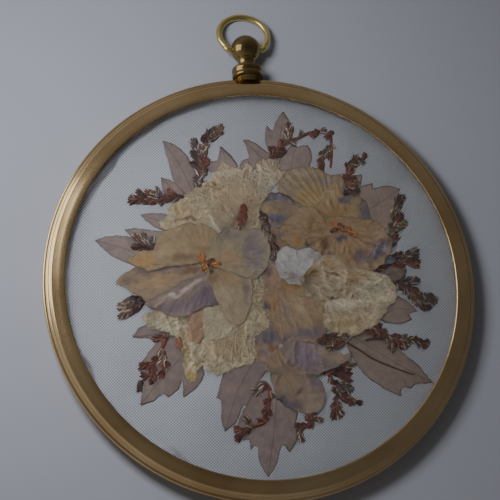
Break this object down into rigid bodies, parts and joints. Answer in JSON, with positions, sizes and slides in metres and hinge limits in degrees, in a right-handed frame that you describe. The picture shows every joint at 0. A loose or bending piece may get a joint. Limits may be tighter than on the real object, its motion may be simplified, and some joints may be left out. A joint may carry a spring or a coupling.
{
  "type": "pressed flower frame",
  "caption": "Small round brass frame holding pressed flowers, leaves and sprigs on a satin pad under glass, with a turned finial and a swinging hanging ring.",
  "frame": {"origin": "middle of the flat back", "axes": "+Z out of the glass towards the viewer, +Y from the middle towards the finial and hanging ring, +X to the right of the picture"},
  "size_m": [0.1, 0.1191, 0.0076],
  "materials": {
    "brass": "brass, aged and polished",
    "card": "pressed brown card",
    "satin": "woven satin, slightly glossy",
    "glass": "clear, polished",
    "leaf": "dry pressed leaf, thin",
    "sprig": "dry pressed bracts and stem",
    "petal_cream": "dry pressed petal, thin",
    "petal_tan": "dry pressed petal, thin",
    "petal_mauve": "dry pressed petal, thin",
    "petal_pale": "dry pressed petal, thin"
  },
  "bodies": {
    "frame": {"rim": "brass", "backing_card": "card", "satin_pad": "satin", "glass": "glass", "finial": "brass", "double_flower_left_petal": "petal_mauve", "double_flower_low_petal": "petal_tan", "double_flower_low_right_petal": "petal_tan", "double_flower_right_petal": "petal_tan", "double_flower_top_petal": "petal_tan", "front_flower_left_petal": "petal_mauve", "front_flower_low_left_petal": "petal_mauve", "front_flower_low_petal": "petal_tan", "front_flower_round_petal": "petal_mauve", "front_flower_upper_left_petal": "petal_tan", "leaf_bottom": "leaf", "leaf_bottom_left": "leaf", "leaf_left": "leaf", "leaf_left_top": "leaf", "leaf_left_upper": "leaf", "leaf_lower_left": "leaf", "leaf_lower_left_small": "leaf", "leaf_lower_right": "leaf", "leaf_right_low": "leaf", "leaf_right_upper": "leaf", "leaf_top": "leaf", "leaf_top_left": "leaf", "leaf_top_narrow": "leaf", "leaf_top_pair": "leaf", "leaf_upper_left": "leaf", "leaf_upper_left_small": "leaf", "leaf_upper_right": "leaf", "low_flower": "petal_cream", "low_flower_pale_petal": "petal_cream", "low_flower_strip_petal": "petal_tan", "lumpy_flower_lower_petal": "petal_tan", "lumpy_flower_upper_petal": "petal_mauve", "right_flower_main_petal": "petal_cream", "right_flower_pale_petal": "petal_pale", "small_flower_left_petal": "petal_tan", "small_flower_right_petal": "petal_tan", "sprig_bottom": "sprig", "sprig_bottom_left": "sprig", "sprig_left": "sprig", "sprig_left_upper": "sprig", "sprig_lower_left": "sprig", "sprig_lower_left_bud": "sprig", "sprig_lower_right": "sprig", "sprig_middle": "sprig", "sprig_right_low": "sprig", "sprig_right_middle": "sprig", "sprig_right_top": "sprig", "sprig_right_upper": "sprig", "sprig_top_arch": "sprig", "sprig_top_right": "sprig", "sprig_upper_left": "sprig", "top_flower_left_petal": "petal_cream", "top_flower_right_petal": "petal_cream", "top_flower_upper_petal": "petal_cream"},
    "bail": {"bail": "brass"}
  },
  "joints": [
    {"name": "bail_swing", "type": "hinge", "parent": "frame", "child": "bail", "pos_m": [0, 0.0581, 0.0039], "axis": [1, 0, 0], "range_deg": [-132, 176]}
  ]
}
